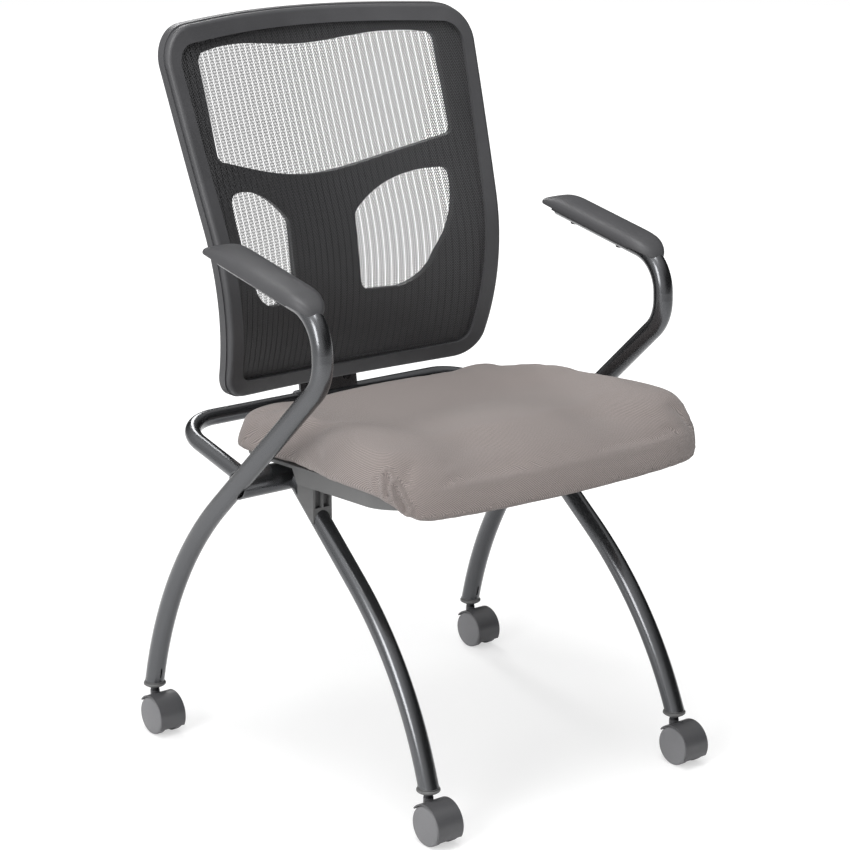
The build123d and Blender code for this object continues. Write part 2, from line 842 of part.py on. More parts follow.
before_shell = back_slab(-80, bezel_depth)
ring_slab = back_slab(0, bezel_depth + shell_ring_depth)
ring_hole = through_back(back_outline(bezel_face + shell_ring_lap))
shell_web_slab = web_slab(shell_web + bezel_depth - bezel_lip)
with BuildPart() as shell_boss:
    with BuildSketch(boss_plane):
        RectangleRounded(2 * boss_half, 2 * (boss_top_z - spine_foot_z), bracket_corner_r)
    extrude(amount=shell_depth - bezel_lip)
with BuildPart() as back_shell:
    add(shell_web_slab)
    add(whole, mode=Mode.INTERSECT)
    add((ring_slab & whole) - ring_hole)
    add(shell_boss.part & whole)
    add(before_shell, mode=Mode.SUBTRACT)
    add(through_back(windows.sketch), mode=Mode.SUBTRACT)
    add(bracket_pins(screw_d / 2, -bracket_thick, bracket_screw_reach), mode=Mode.SUBTRACT)
save(back_shell.part, "back_shell")


# ---------------------------------------------------------------- bracket between hoop and shell
def front_pins(radius, low, high):
    """Two pins low on the bracket, under the edge of the shell."""
    with BuildPart() as pins:
        with BuildSketch(boss_plane.offset(low)):
            with Locations((-bracket_screw_x, front_screw_v), (bracket_screw_x, front_screw_v)):
                Circle(radius)
        extrude(amount=high - low)
    return pins.part


solid_hoop = hoop_tube(wall=0)
with BuildPart() as hoop_clip:
    with BuildSketch(Plane.YZ.offset(-bracket_half)):
        with Locations((hoop_y, hoop_z)):
            Circle(hoop_r + bracket_wall)
    extrude(amount=2 * bracket_half)

with BuildPart() as back_bracket:
    with BuildSketch(boss_plane) as plate:
        with Locations((0, hoop_z - spine_foot_z)):
            Rectangle(2 * bracket_half, bracket_top_z - hoop_z, align=(Align.CENTER, Align.MIN))
        fillet(plate.vertices().group_by(Axis.Z)[-1], radius=bracket_corner_r)
    extrude(amount=-bracket_thick)
    add(hoop_clip.part)
    add(solid_hoop, mode=Mode.SUBTRACT)
    add(bracket_pins(screw_d / 2, -bracket_thick, 0), mode=Mode.SUBTRACT)
    add(front_pins(screw_d / 2, -bracket_thick, 0), mode=Mode.SUBTRACT)
save(back_bracket.part, "back_bracket")

with BuildPart() as bracket_screws:
    add(bracket_pins(screw_d / 2, -bracket_thick, bracket_screw_reach))
    add(bracket_pins(screw_head_d / 2, -bracket_thick - screw_head_h, -bracket_thick))
    add(front_pins(screw_d / 2, -bracket_thick, 0))
    add(front_pins(screw_head_d / 2, 0, screw_head_h))
save(bracket_screws.part, "bracket_screws")


# ---------------------------------------------------------------- seat, drawn in its own plane
def seat_outline(side_in, front_in, rear_in):
    """Plan of the seat with its edges drawn in; local X across and Y to the rear."""
    front = seat_front_width / 2 - side_in
    rear = seat_rear_width / 2 - side_in
    ahead = front_in - seat_ahead_of_hinge
    behind = seat_behind_hinge - rear_in
    with BuildSketch() as outline:
        with BuildLine():
            nose = ThreePointArc((-front, ahead), (0, ahead - front_bow), (front, ahead))
            tail = ThreePointArc((rear, behind), (0, behind + rear_bow), (-rear, behind))
            Line(nose @ 1, tail @ 0)
            Line(tail @ 1, nose @ 0)
        make_face()
        fillet(outline.vertices().group_by(Axis.Y)[0], radius=seat_front_corner_r - side_in)
        fillet(outline.vertices().group_by(Axis.Y)[-1], radius=seat_rear_corner_r - side_in)
    return outline.sketch


def seat_layer(sketch, low, high):
    """A plan shape of the seat between two heights over the hinge axis."""
    with BuildPart() as layer:
        with BuildSketch(seat_plane.offset(low)):
            add(sketch)
        extrude(amount=high - low)
    return layer.part


def strap_profile():
    """Side section of a strap: half round under the beam, two legs and two ears."""
    with BuildSketch() as section:
        Circle(strap_r)
        with Locations((0, panel_h)):
            Rectangle(2 * strap_r, panel_h, align=(Align.CENTER, Align.MAX))
            Rectangle(2 * (strap_r + strap_ear), strap_wall, align=(Align.CENTER, Align.MAX))
        Circle(bush_r, mode=Mode.SUBTRACT)
        with Locations((0, panel_h)):
            Rectangle(2 * bush_r, panel_h, align=(Align.CENTER, Align.MAX), mode=Mode.SUBTRACT)
            Rectangle(2 * strap_r, strap_r, align=(Align.CENTER, Align.MIN), mode=Mode.SUBTRACT)
    return section.sketch


def strap_pins(radius, low, high):
    """The screws' places in the ears of both straps, from one height to another."""
    along = strap_r + strap_ear / 2
    with BuildPart() as pins:
        with BuildSketch(seat_plane.offset(low)):
            with GridLocations(strap_spacing, 2 * along, 2, 2):
                with GridLocations(bush_length / 2, 1, 2, 1):
                    Circle(radius)
        extrude(amount=high - low)
    return pins.part


def landing_places():
    """Centres of the two pads under the pan, over the blocks on the front legs."""
    return [(sx * block_x, -landing_ahead) for side, sx in SIDES]


pan_plan = seat_outline(pan_inset, front_wrap, pan_rear_inset)
skirt_plan = seat_outline(pan_inset + skirt_wall, front_wrap + skirt_wall, pan_rear_inset)
board_plan = seat_outline(board_inset, board_inset, board_inset)
board_layer = seat_layer(board_plan, board_h, board_h + board_thick)

with BuildPart() as skirt_side:
    with BuildSketch(seat_side.offset(-seat_front_width)):
        reach = seat_ahead_of_hinge + front_bow
        with BuildLine():
            Polyline((-skirt_end, board_h), (-skirt_end - skirt_rake, skirt_bottom_h),
                     (-reach, skirt_bottom_h), (-reach, board_h), close=True)
        make_face()
    extrude(amount=2 * seat_front_width)

with BuildPart() as ribs:
    with BuildSketch(seat_plane.offset(panel_h - rib_height)):
        middle = -(seat_ahead_of_hinge + skirt_end) / 2
        with Locations((0, middle)):
            with GridLocations(strap_spacing / 2, 1, 3, 1):
                Rectangle(rib_thick, seat_ahead_of_hinge)
            with GridLocations(1, seat_ahead_of_hinge / 4, 1, 3):
                Rectangle(seat_front_width, rib_thick)
    extrude(amount=rib_height)

with BuildPart() as seat_pan:
    add(seat_layer(pan_plan, panel_h, board_h))
    add((seat_layer(pan_plan, skirt_bottom_h, board_h) - seat_layer(skirt_plan, 0, board_h + 1))
        & skirt_side.part)
    add(ribs.part & skirt_side.part & seat_layer(skirt_plan, 0, board_h))
    with BuildSketch(seat_plane.offset(rest_h)):
        with Locations(*landing_places()):
            Rectangle(landing_width, landing_length)
    extrude(amount=board_h - rest_h)
    add(strap_pins(screw_d / 2, panel_h, board_h), mode=Mode.SUBTRACT)
save(seat_pan.part, "seat_pan")

with BuildPart() as seat_board:
    add(board_layer)
    add(strap_pins(screw_d / 2, board_h, panel_h + seat_screw_reach), mode=Mode.SUBTRACT)
save(seat_board.part, "seat_board")

with BuildPart() as seat_cushion:
    add(seat_layer(seat_outline(0, 0, 0), board_h - cushion_lip, cushion_top_h))
    fillet(seat_cushion.faces().sort_by(Axis.Z)[-1].edges(), radius=cushion_edge_r)
    wrap = seat_outline(-board_inset, front_wrap, -board_inset)
    add(seat_layer(wrap, board_h - cushion_lip - 1, board_h), mode=Mode.SUBTRACT)
    add(board_layer, mode=Mode.SUBTRACT)
save(seat_cushion.part, "seat_cushion")

for side, sx in SIDES:
    middle = sx * strap_spacing / 2
    with BuildPart() as hinge_bush:
        with BuildSketch(seat_side.offset(middle - bush_length / 2)):
            Circle(bush_r)
        extrude(amount=bush_length)
        with BuildSketch(seat_side.offset(middle - bush_length / 2)) as flange:
            Circle(strap_r)
            with Locations((0, panel_h - rest_gap)):
                Rectangle(4 * strap_r, 2 * strap_r, align=(Align.CENTER, Align.MIN), mode=Mode.SUBTRACT)
        extrude(amount=flange_thick)
        with BuildSketch(seat_side.offset(middle + bush_length / 2)):
            add(flange.sketch_local)
        extrude(amount=-flange_thick)
        with BuildSketch(seat_side.offset(middle - bush_length / 2)):
            Circle(beam_r + swivel_clearance)
        extrude(amount=bush_length, mode=Mode.SUBTRACT)
    save(hinge_bush.part, f"hinge_bush_{side}")

    with BuildPart() as strap:
        with BuildSketch(seat_side.offset(middle - bush_length / 2 + flange_thick)):
            add(strap_profile())
        extrude(amount=bush_length - 2 * flange_thick)
        add(strap_pins(screw_d / 2, 0, panel_h), mode=Mode.SUBTRACT)
    save(strap.part, f"hinge_strap_{side}")

with BuildPart() as seat_screws:
    ear_h = panel_h - strap_wall
    add(strap_pins(screw_d / 2, ear_h, panel_h + seat_screw_reach))
    add(strap_pins(screw_head_d / 2, ear_h - screw_head_h, ear_h))
save(seat_screws.part, "seat_screws")


# ---------------------------------------------------------------- blocks the seat lands on
def leg_axis_z(y):
    """Height of the front legs' upper run at a depth."""
    return leg_top[1] + (y - leg_top[0]) * math.tan(math.radians(leg_slope))


def rest_block(sx):
    """Saddle on a front leg: a wedge up to the pan with two pockets in its front face."""
    low_front = leg_axis_z(block_front_y)
    low_rear = leg_axis_z(block_rear_y)
    tube = leg_tube(sx, wall=0)
    with BuildPart() as block:
        with BuildSketch(Plane.YZ.offset(sx * block_x - block_width / 2)):
            with BuildLine():
                Polyline((block_front_y, low_front), (block_rear_y, low_rear),
                         (block_rear_y, hinge_z + rest_h * 2), (block_front_y, hinge_z + rest_h * 2),
                         close=True)
            make_face()
        extrude(amount=block_width)
        with BuildSketch(seat_plane.offset(rest_h - rest_gap)):
            Rectangle(seat_front_width, 2 * seat_ahead_of_hinge)
        extrude(amount=4 * rest_h, mode=Mode.SUBTRACT)
        add(tube, mode=Mode.SUBTRACT)
        pocket = (block_width - 3 * skirt_wall) / 2
        pocket_low = low_front + tube_r / math.cos(math.radians(leg_slope)) + skirt_wall
        with BuildSketch(Plane.XZ.offset(-block_front_y)):
            with Locations((sx * block_x, pocket_low)):
                with GridLocations(pocket + skirt_wall, 1, 2, 1):
                    Rectangle(pocket, hinge_z + rest_h - skirt_wall - pocket_low,
                              align=(Align.CENTER, Align.MIN))
        extrude(amount=-block_pocket, mode=Mode.SUBTRACT)
    return block.part


for side, sx in SIDES:
    save(rest_block(sx), f"rest_block_{side}")
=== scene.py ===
import bmesh
import bpy
import json
import math
from mathutils import Matrix, Vector
from mathutils.bvhtree import BVHTree
from mathutils.geometry import intersect_point_line


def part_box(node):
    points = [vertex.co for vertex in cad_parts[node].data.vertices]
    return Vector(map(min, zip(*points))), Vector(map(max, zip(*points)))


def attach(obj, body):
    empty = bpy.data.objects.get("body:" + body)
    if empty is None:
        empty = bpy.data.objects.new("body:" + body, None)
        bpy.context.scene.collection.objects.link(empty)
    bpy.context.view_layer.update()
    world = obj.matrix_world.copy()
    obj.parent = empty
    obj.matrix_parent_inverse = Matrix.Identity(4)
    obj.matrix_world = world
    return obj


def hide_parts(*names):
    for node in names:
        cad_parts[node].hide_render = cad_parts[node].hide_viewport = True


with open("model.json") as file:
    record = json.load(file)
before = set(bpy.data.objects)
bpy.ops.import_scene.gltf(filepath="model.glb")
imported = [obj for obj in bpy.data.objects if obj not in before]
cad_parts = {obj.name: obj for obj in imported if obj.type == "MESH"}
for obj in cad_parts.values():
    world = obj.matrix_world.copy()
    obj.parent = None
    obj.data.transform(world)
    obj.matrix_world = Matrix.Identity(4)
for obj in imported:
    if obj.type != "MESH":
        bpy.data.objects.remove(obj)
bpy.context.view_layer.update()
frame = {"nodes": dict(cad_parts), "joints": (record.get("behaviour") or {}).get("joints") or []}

# ------------------------------------------------------------------ camera and studio
# The chair stands on a pale sweep in a white studio. The camera looks down a little from
# the sitter's right front, with a long lens. One large soft lamp hangs over the chair and
# one stands to the left; the studio's right side is left dark.
scene = bpy.context.scene
scene.view_settings.view_transform = "Standard"

camera_place = (-1.9330, -2.4603, 1.2840)
toward_camera = Vector((-0.5951, -0.7586, 0.2652))
camera_data = bpy.data.cameras.new("camera")
camera_data.lens = 108.7
camera_data.sensor_width = 36.0
camera_data.shift_x = -0.0051
camera_data.shift_y = -0.0018
camera_data.clip_end = 40.0
camera = bpy.data.objects.new("camera", camera_data)
camera.location = camera_place
camera.rotation_euler = toward_camera.to_track_quat("Z", "Y").to_euler()
scene.collection.objects.link(camera)
scene.camera = camera


def linear(code):
    """An sRGB hex colour as linear RGBA."""
    channels = [int(code[i:i + 2], 16) / 255 for i in (1, 3, 5)]
    return [c / 12.92 if c <= 0.04045 else ((c + 0.055) / 1.055) ** 2.4 for c in channels] + [1.0]


def add_node(tree, kind, sockets=None, **settings):
    """Adds a node with its settings; a socket gets a number, a colour or another node's output."""
    made = tree.nodes.new(kind)
    for name, value in settings.items():
        setattr(made, name, value)
    for name, value in (sockets or {}).items():
        if isinstance(value, bpy.types.NodeSocket):
            tree.links.new(value, made.inputs[name])
        else:
            made.inputs[name].default_value = value
    return made


def softbox(name, place, aim, size, watts):
    """A rectangular studio lamp that points at a place."""
    data = bpy.data.lights.new(name, "AREA")
    data.shape = "RECTANGLE"
    data.size, data.size_y = size
    data.energy = watts
    lamp = bpy.data.objects.new(name, data)
    scene.collection.objects.link(lamp)
    lamp.location = place
    lamp.rotation_euler = (Vector(place) - Vector(aim)).to_track_quat("Z", "Y").to_euler()


softbox("lamp_overhead", (-0.5, -0.4, 3.0), (0, 0, 0.4), (1.3, 1.3), 46)
softbox("lamp_left", (-2.8, -0.9, 1.5), (0, 0, 0.5), (0.9, 1.7), 44)
softbox("lamp_rear", (0.9, 2.4, 2.2), (0, 0, 0.6), (0.5, 1.6), 22)

# The camera sees plain white. What shines back from the chair is a bright left wall and
# ceiling, and what lights it from all round is a room that is softly brighter at the left.
world = bpy.data.worlds.new("studio")
scene.world = world
world.use_nodes = True
tree = world.node_tree
tree.nodes.clear()
seen = add_node(tree, "ShaderNodeLightPath")
direction = add_node(tree, "ShaderNodeTexCoord")
axes = add_node(tree, "ShaderNodeSeparateXYZ", {"Vector": direction.outputs["Generated"]})
left_wall = add_node(tree, "ShaderNodeMapRange", {
    "Value": axes.outputs["X"], "From Min": 0.25, "From Max": -0.75, "To Min": 0.0, "To Max": 0.8},
    interpolation_type="SMOOTHSTEP")
ceiling = add_node(tree, "ShaderNodeMapRange", {
    "Value": axes.outputs["Z"], "From Min": 0.35, "From Max": 0.95, "To Min": 0.0, "To Max": 0.75},
    interpolation_type="SMOOTHSTEP")
room = add_node(tree, "ShaderNodeMath", {0: left_wall.outputs[0], 1: ceiling.outputs[0]}, operation="ADD")
soft_room = add_node(tree, "ShaderNodeMapRange", {
    "Value": axes.outputs["X"], "From Min": 0.9, "From Max": -0.9, "To Min": 0.3, "To Max": 0.78})
shine = add_node(tree, "ShaderNodeMix", {
    "Factor": seen.outputs["Is Glossy Ray"], "A": soft_room.outputs[0], "B": room.outputs[0]})
lit_room = add_node(tree, "ShaderNodeBackground", {"Color": (1, 1, 1, 1), "Strength": shine.outputs[0]})
white = add_node(tree, "ShaderNodeBackground", {"Color": (1, 1, 1, 1), "Strength": 1.0})
clear = add_node(tree, "ShaderNodeMath", {
    0: seen.outputs["Is Camera Ray"], 1: seen.outputs["Is Transmission Ray"]}, operation="MAXIMUM")
sky = add_node(tree, "ShaderNodeMixShader", {0: clear.outputs[0], 1: lit_room.outputs[0], 2: white.outputs[0]})
add_node(tree, "ShaderNodeOutputWorld", {"Surface": sky.outputs[0]})


def new_material(name):
    """An empty node material and its tree."""
    material = bpy.data.materials.new(name)
    material.use_nodes = True
    material.node_tree.nodes.clear()
    return material, material.node_tree


# Seamless paper floor: matt white. What the camera sees is half lit by itself near the
# chair, to keep its soft shadow, and wholly further out, so that it runs into the white.
floor_radius = 9.0
paper, tree = new_material("seamless_paper")
place = add_node(tree, "ShaderNodeTexCoord")
from_chair = add_node(tree, "ShaderNodeVectorMath", {0: place.outputs["Object"]}, operation="LENGTH")
matt = add_node(tree, "ShaderNodeBsdfDiffuse", {"Color": linear("#f7f7f7")})
glow = add_node(tree, "ShaderNodeEmission", {"Color": (1, 1, 1, 1), "Strength": 1.28})
seen = add_node(tree, "ShaderNodeLightPath")
own_light = add_node(tree, "ShaderNodeMapRange", {
    "Value": from_chair.outputs["Value"], "From Min": 0.5, "From Max": 1.15, "To Min": 0.42, "To Max": 1.0},
    interpolation_type="SMOOTHSTEP")
share = add_node(tree, "ShaderNodeMath", {
    0: seen.outputs["Is Camera Ray"], 1: own_light.outputs[0]}, operation="MULTIPLY")
blend = add_node(tree, "ShaderNodeMixShader", {0: share.outputs[0], 1: matt.outputs[0], 2: glow.outputs[0]})
add_node(tree, "ShaderNodeOutputMaterial", {"Surface": blend.outputs[0]})
shape = bmesh.new()
bmesh.ops.create_circle(shape, cap_ends=True, segments=96, radius=floor_radius)
mesh = bpy.data.meshes.new("floor")
shape.to_mesh(mesh)
shape.free()
floor = bpy.data.objects.new("floor", mesh)
scene.collection.objects.link(floor)
mesh.materials.append(paper)

# ------------------------------------------------------------------ steel frame
# Bent round steel tubes, welded at the cross beam and powder coated in dark graphite with
# a fine metallic flake. The coat is semi-gloss with a faint orange peel.


def give(material, *names):
    """Puts one material on CAD nodes whose names start so."""
    for node_name, piece in frame["nodes"].items():
        if node_name.startswith(names):
            piece.data.materials.clear()
            piece.data.materials.append(material)


peels_per_metre, flakes_per_metre = 900.0, 1600.0
graphite, tree = new_material("graphite_powder_coat")
place = add_node(tree, "ShaderNodeTexCoord")
peel = add_node(tree, "ShaderNodeTexNoise", {
    "Vector": place.outputs["Object"], "Scale": peels_per_metre, "Detail": 2.0, "Roughness": 0.5})
flake = add_node(tree, "ShaderNodeTexVoronoi", {"Vector": place.outputs["Object"], "Scale": flakes_per_metre})
shade = add_node(tree, "ShaderNodeMapRange", {
    "Value": flake.outputs["Distance"], "From Max": 0.8, "To Min": 0.0, "To Max": 1.0})
tint = add_node(tree, "ShaderNodeMix", {
    "Factor": shade.outputs[0], "A": linear("#545558"), "B": linear("#5e5f61")}, data_type="RGBA")
gloss = add_node(tree, "ShaderNodeMapRange", {"Value": peel.outputs[0], "To Min": 0.24, "To Max": 0.28})
coat = add_node(tree, "ShaderNodeBsdfPrincipled", {
    "Base Color": tint.outputs["Result"], "Metallic": 0.9, "Roughness": gloss.outputs[0],
    "Coat Weight": 0.4, "Coat Roughness": 0.12})
add_node(tree, "ShaderNodeOutputMaterial", {"Surface": coat.outputs[0]})
give(graphite, "side_frame", "front_leg", "cross_beam", "back_hoop", "back_bracket", "hinge_strap")

# ------------------------------------------------------------------ moulded plastics
# Glass-filled polypropylene, injection moulded with a fine spark-eroded grain. The back's
# ring and the arm pads are charcoal, the seat pan and the blocks a little lighter. The
# casters are nylon: matt grey wheels under darker hoods with a little more shine.
clouds_per_metre = 14.0
moulded = {}
for name, dark, light, rough, grits_per_metre in (
    ("charcoal_polypropylene", "#3c3c3e", "#464648", 0.5, 1100.0),
    ("seat_pan_polypropylene", "#585858", "#636363", 0.46, 1400.0),
    ("wheel_nylon", "#69696b", "#757577", 0.5, 1300.0),
    ("hood_nylon", "#48484a", "#535355", 0.34, 1300.0),
):
    material, tree = new_material(name)
    place = add_node(tree, "ShaderNodeTexCoord")
    grit = add_node(tree, "ShaderNodeTexNoise", {
        "Vector": place.outputs["Object"], "Scale": grits_per_metre, "Detail": 3.0, "Roughness": 0.6})
    cloud = add_node(tree, "ShaderNodeTexNoise", {
        "Vector": place.outputs["Object"], "Scale": clouds_per_metre, "Detail": 2.0})
    both = add_node(tree, "ShaderNodeMath", {0: grit.outputs[0], 1: cloud.outputs[0]}, operation="MULTIPLY")
    shade = add_node(tree, "ShaderNodeMapRange", {
        "Value": both.outputs[0], "From Min": 0.12, "From Max": 0.4})
    tint = add_node(tree, "ShaderNodeMix", {
        "Factor": shade.outputs[0], "A": linear(dark), "B": linear(light)}, data_type="RGBA")
    relief = add_node(tree, "ShaderNodeBump", {
        "Height": grit.outputs[0], "Strength": 0.25, "Distance": 0.0002})
    surface = add_node(tree, "ShaderNodeBsdfPrincipled", {
        "Base Color": tint.outputs["Result"], "Roughness": rough, "Normal": relief.outputs[0]})
    add_node(tree, "ShaderNodeOutputMaterial", {"Surface": surface.outputs[0]})
    moulded[name] = material
give(moulded["charcoal_polypropylene"],
     "arm_pad", "arm_plug", "back_bezel", "back_shell", "mesh_retaining_strip")
give(moulded["seat_pan_polypropylene"], "seat_pan", "rest_block", "foot_socket", "hinge_bush")
give(moulded["wheel_nylon"], "caster_wheel")
give(moulded["hood_nylon"], "caster_hood")

# ------------------------------------------------------------------ small steel parts
# Screws, caster stems and axles: zinc plated and blackened steel, a little uneven in tone.
stains_per_metre = 220.0
plated, tree = new_material("black_zinc_steel")
place = add_node(tree, "ShaderNodeTexCoord")
stain = add_node(tree, "ShaderNodeTexNoise", {
    "Vector": place.outputs["Object"], "Scale": stains_per_metre, "Detail": 3.0})
tint = add_node(tree, "ShaderNodeMix", {
    "Factor": stain.outputs[0], "A": linear("#2e2e30"), "B": linear("#5a5a5c")}, data_type="RGBA")
surface = add_node(tree, "ShaderNodeBsdfPrincipled", {
    "Base Color": tint.outputs["Result"], "Metallic": 1.0, "Roughness": 0.33})
add_node(tree, "ShaderNodeOutputMaterial", {"Surface": surface.outputs[0]})
give(plated, "caster_stem", "caster_axle", "arm_screws", "bracket_screws", "seat_screws")

# ------------------------------------------------------------------ seat board
# Birch plywood inside the cushion: pale veneer whose grain runs along the seat's width,
# so the veins are long in x, narrow in y and thin as the plies in z.
veins_per_metre = (6.0, 90.0, 700.0)
ply, tree = new_material("birch_plywood")
place = add_node(tree, "ShaderNodeTexCoord")
grained = add_node(tree, "ShaderNodeMapping", {"Vector": place.outputs["Object"], "Scale": veins_per_metre})
veins = add_node(tree, "ShaderNodeTexNoise", {"Vector": grained.outputs[0], "Scale": 1.0, "Detail": 4.0})
tint = add_node(tree, "ShaderNodeMix", {
    "Factor": veins.outputs[0], "A": linear("#a98a62"), "B": linear("#d9c09a")}, data_type="RGBA")
surface = add_node(tree, "ShaderNodeBsdfPrincipled", {"Base Color": tint.outputs["Result"], "Roughness": 0.7})
add_node(tree, "ShaderNodeOutputMaterial", {"Surface": surface.outputs[0]})
give(ply, "seat_board")

# ------------------------------------------------------------------ arm pads
# Moulded caps that sit on the arm tubes: a crowned top with rolled edges, a rounded nose
# that falls with the tube's bend, a thin tail over the tube's end, and a cradle below.
# Each is drawn in mm along the arm: s to the front, w across, h up from the tube's axis.
arm_tip = Vector((266.5, 60.17, 662.0))
arm_slope = math.radians(11.0)
pad_tail, pad_tip, bend_start = -22.0, 194.0, 156.6
bend_radius, top_above, lip_above = 110.0, 18.0, 3.0
nose_run, tail_run, pad_half = 56.0, 16.0, 26.0
thin_from, thin_run, tail_drop, tail_lip = 24.0, 46.0, 11.0, 0.5
edge_high, lip_inset = 1.6, 1.4
crown_curve = ((0.0, 1.0), (0.3, 0.985), (0.55, 0.94), (0.74, 0.85), (0.87, 0.7), (0.95, 0.48), (0.99, 0.22),
               (1.0, 0.0))
cradle_start, cradle_end, cradle_half = -3.2, 148.0, 15.0
tube_seat = ((12.7, 0.0), (11.7, 4.9), (9.0, 9.0), (5.0, 11.7), (0.0, 12.7))
cradle_low = -4.0
point = 0.02


def pad_ring(s, cradled):
    """Half of a cross-section of the pad, from the top down the edge and in to the middle."""
    fall = max(0.0, s - bend_start)
    top = math.sqrt((bend_radius + top_above) ** 2 - fall ** 2) - bend_radius
    lip = math.sqrt((bend_radius + lip_above) ** 2 - fall ** 2) - bend_radius
    to_tip = min(1.0, max(0.0, (s - pad_tip + nose_run) / nose_run))
    to_tail = min(1.0, max(0.0, (pad_tail + tail_run - s) / tail_run))
    wide = pad_half * math.sqrt(max(0.0, 1 - to_tip ** 2.3)) * math.sqrt(max(0.0, 1 - to_tail ** 2.4))
    thin = min(1.0, max(0.0, (thin_from - s) / thin_run))
    top -= tail_drop * thin ** 2.2
    lip += tail_lip * thin
    crown = (top - lip - edge_high) * (1 - to_tip ** 3) ** 0.6 * (1 - 0.3 * to_tail ** 2)
    half = [(wide * share, lip + edge_high + crown * rise) for share, rise in crown_curve]
    half += [(wide * 0.995, lip + 0.6), (max(0.0, wide - lip_inset), lip)]
    if cradled:
        half += [(cradle_half, lip - 0.1), (cradle_half, cradle_low), (tube_seat[0][0], cradle_low)]
        half += tube_seat
    else:
        half += [(min(0.8 * wide, cradle_half), lip)] * 3
        for share, (width, _) in zip((0.7, 0.6, 0.4, 0.2, 0.0), tube_seat):
            half.append((min(share * wide, width), lip))
    return half


def skin(shape, loops):
    """Faces from each closed loop of vertices to the next, with a lid on both ends."""
    for near, far in zip(loops, loops[1:]):
        for index in range(len(near)):
            follow = (index + 1) % len(near)
            shape.faces.new((near[index], near[follow], far[follow], far[index]))
    shape.faces.new(loops[0][::-1])
    shape.faces.new(loops[-1])


tail_rings = [pad_tail + point + (cradle_start - pad_tail - point) * (step / 12) ** 1.7 for step in range(13)]
cradle_rings = [cradle_start + (cradle_end - cradle_start) * step / 30 for step in range(31)]
nose_rings = [cradle_end + (pad_tip - point - cradle_end) * (1 - (1 - step / 22) ** 2) for step in range(23)]
rings = [pad_ring(s, False) for s in tail_rings]
rings += [pad_ring(s, True) for s in cradle_rings]
rings += [pad_ring(s, False) for s in nose_rings]
for side, sx in (("right", -1), ("left", 1)):
    shape = bmesh.new()
    loops = []
    for s, half in zip(tail_rings + cradle_rings + nose_rings, rings):
        section = half + [(-w, h) for w, h in half[-2:0:-1]]
        loops.append([shape.verts.new(Vector((
            sx * arm_tip.x + w,
            arm_tip.y - s * math.cos(arm_slope) - h * math.sin(arm_slope),
            arm_tip.z - s * math.sin(arm_slope) + h * math.cos(arm_slope))) / 1000) for w, h in section])
    skin(shape, loops)
    bmesh.ops.remove_doubles(shape, verts=shape.verts[:], dist=0.00002)
    bmesh.ops.dissolve_degenerate(shape, dist=0.00001, edges=shape.edges[:])
    bmesh.ops.recalc_face_normals(shape, faces=shape.faces[:])
    for face in shape.faces:
        face.smooth = True
    mesh = bpy.data.meshes.new(f"arm_cap_{side}")
    shape.to_mesh(mesh)
    shape.free()
    mesh.set_sharp_from_angle(angle=math.radians(50))
    cap = bpy.data.objects.new(f"arm_cap_{side}", mesh)
    scene.collection.objects.link(cap)
    mesh.materials.append(moulded["charcoal_polypropylene"])
    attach(cap, "frame")
    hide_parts(f"arm_pad_{side}")

# ------------------------------------------------------------------ seat cushion
# Moulded foam under one piece of warm grey twill, pulled down over the front edge and
# stapled under the board. The foam has a bucket at the rear, a channel for each thigh and
# a deep soft front roll. It is drawn in mm in the seat's own plane: x, v to the rear, h up.
seat_joint = [j for j in frame["joints"] if j["name"] == "seat_flip"][0]
seat_place = (Matrix.Translation(Vector(seat_joint["pos_m"])) @ Matrix.Rotation(math.radians(-3.9), 4, "X")
              @ Matrix.Scale(0.001, 4))
front_half, rear_half, fuller_left = 247.0, 219.0, 2.0
front_v, rear_v = -302.0, 100.0
middle_v, half_v = (front_v + rear_v) / 2, (rear_v - front_v) / 2
front_bow, rear_bow = 24.0, 6.0
front_squareness, rear_squareness = 8.4, 11.0
foam_high, board_top, pan_top, lip_low = 70.0, 39.5, 26.4, -5.0
side_roll_in, side_roll_down = 28.0, 36.0
front_roll_in, front_roll_down = 80.0, 58.0
roll_fullness = 2.2
past_pan_rear, past_pan_side, past_pan_front = 4.0, 14.0, 20.0
board_inset, slack = 22.0, 3.0
turns, top_steps = 168, 24


def ramp(value, low, high):
    """0 below low, 1 above high and smooth between."""
    t = min(1.0, max(0.0, (value - low) / (high - low)))
    return t * t * (3 - 2 * t)


def hill(value, centre, spread):
    """1 at the centre, falling to nothing a few spreads away."""
    return math.exp(-((value - centre) / spread) ** 2)


def foam_top(x, v):
    """Height of the foam before its edge falls away."""
    side = abs(x)
    bucket = 10.0 * (1 - ramp(side, 80, 200)) * hill(v, -72, 74)
    thigh_channel = 4.0 * hill(side, 108, 46) * ramp(-v, 110, 190)
    middle_ridge = 2.5 * hill(x, 0, 55) * hill(v, -170, 60)
    rear_rise = 3.0 * hill(x, 0, 150) * ramp(v, 0, 70)
    crease = 4.5 * hill(v + 95 - (235 - side) * 0.36, 0, 22) * ramp(-x, 110, 175) * (1 - ramp(side, 195, 232))
    right_thigh_side = 2.5 * hill(-x, 175, 45) * hill(v, -165, 42)
    bolsters = 4.0 * (ramp(side, 110, 205) + ramp(x, 90, 205)) * ramp(-v, -62, 22)
    left_hip_side = 5.0 * ramp(x, 110, 200) * hill(v, -62, 55)
    outer_rise = 3.0 * ramp(side, 120, 190) * ramp(v, -230, -120)
    front_fall = 5.0 * ramp(-v, 200, 300)
    return (foam_high - bucket - thigh_channel + middle_ridge + rear_rise - crease + right_thigh_side
            + bolsters + left_hip_side + outer_rise - front_fall)


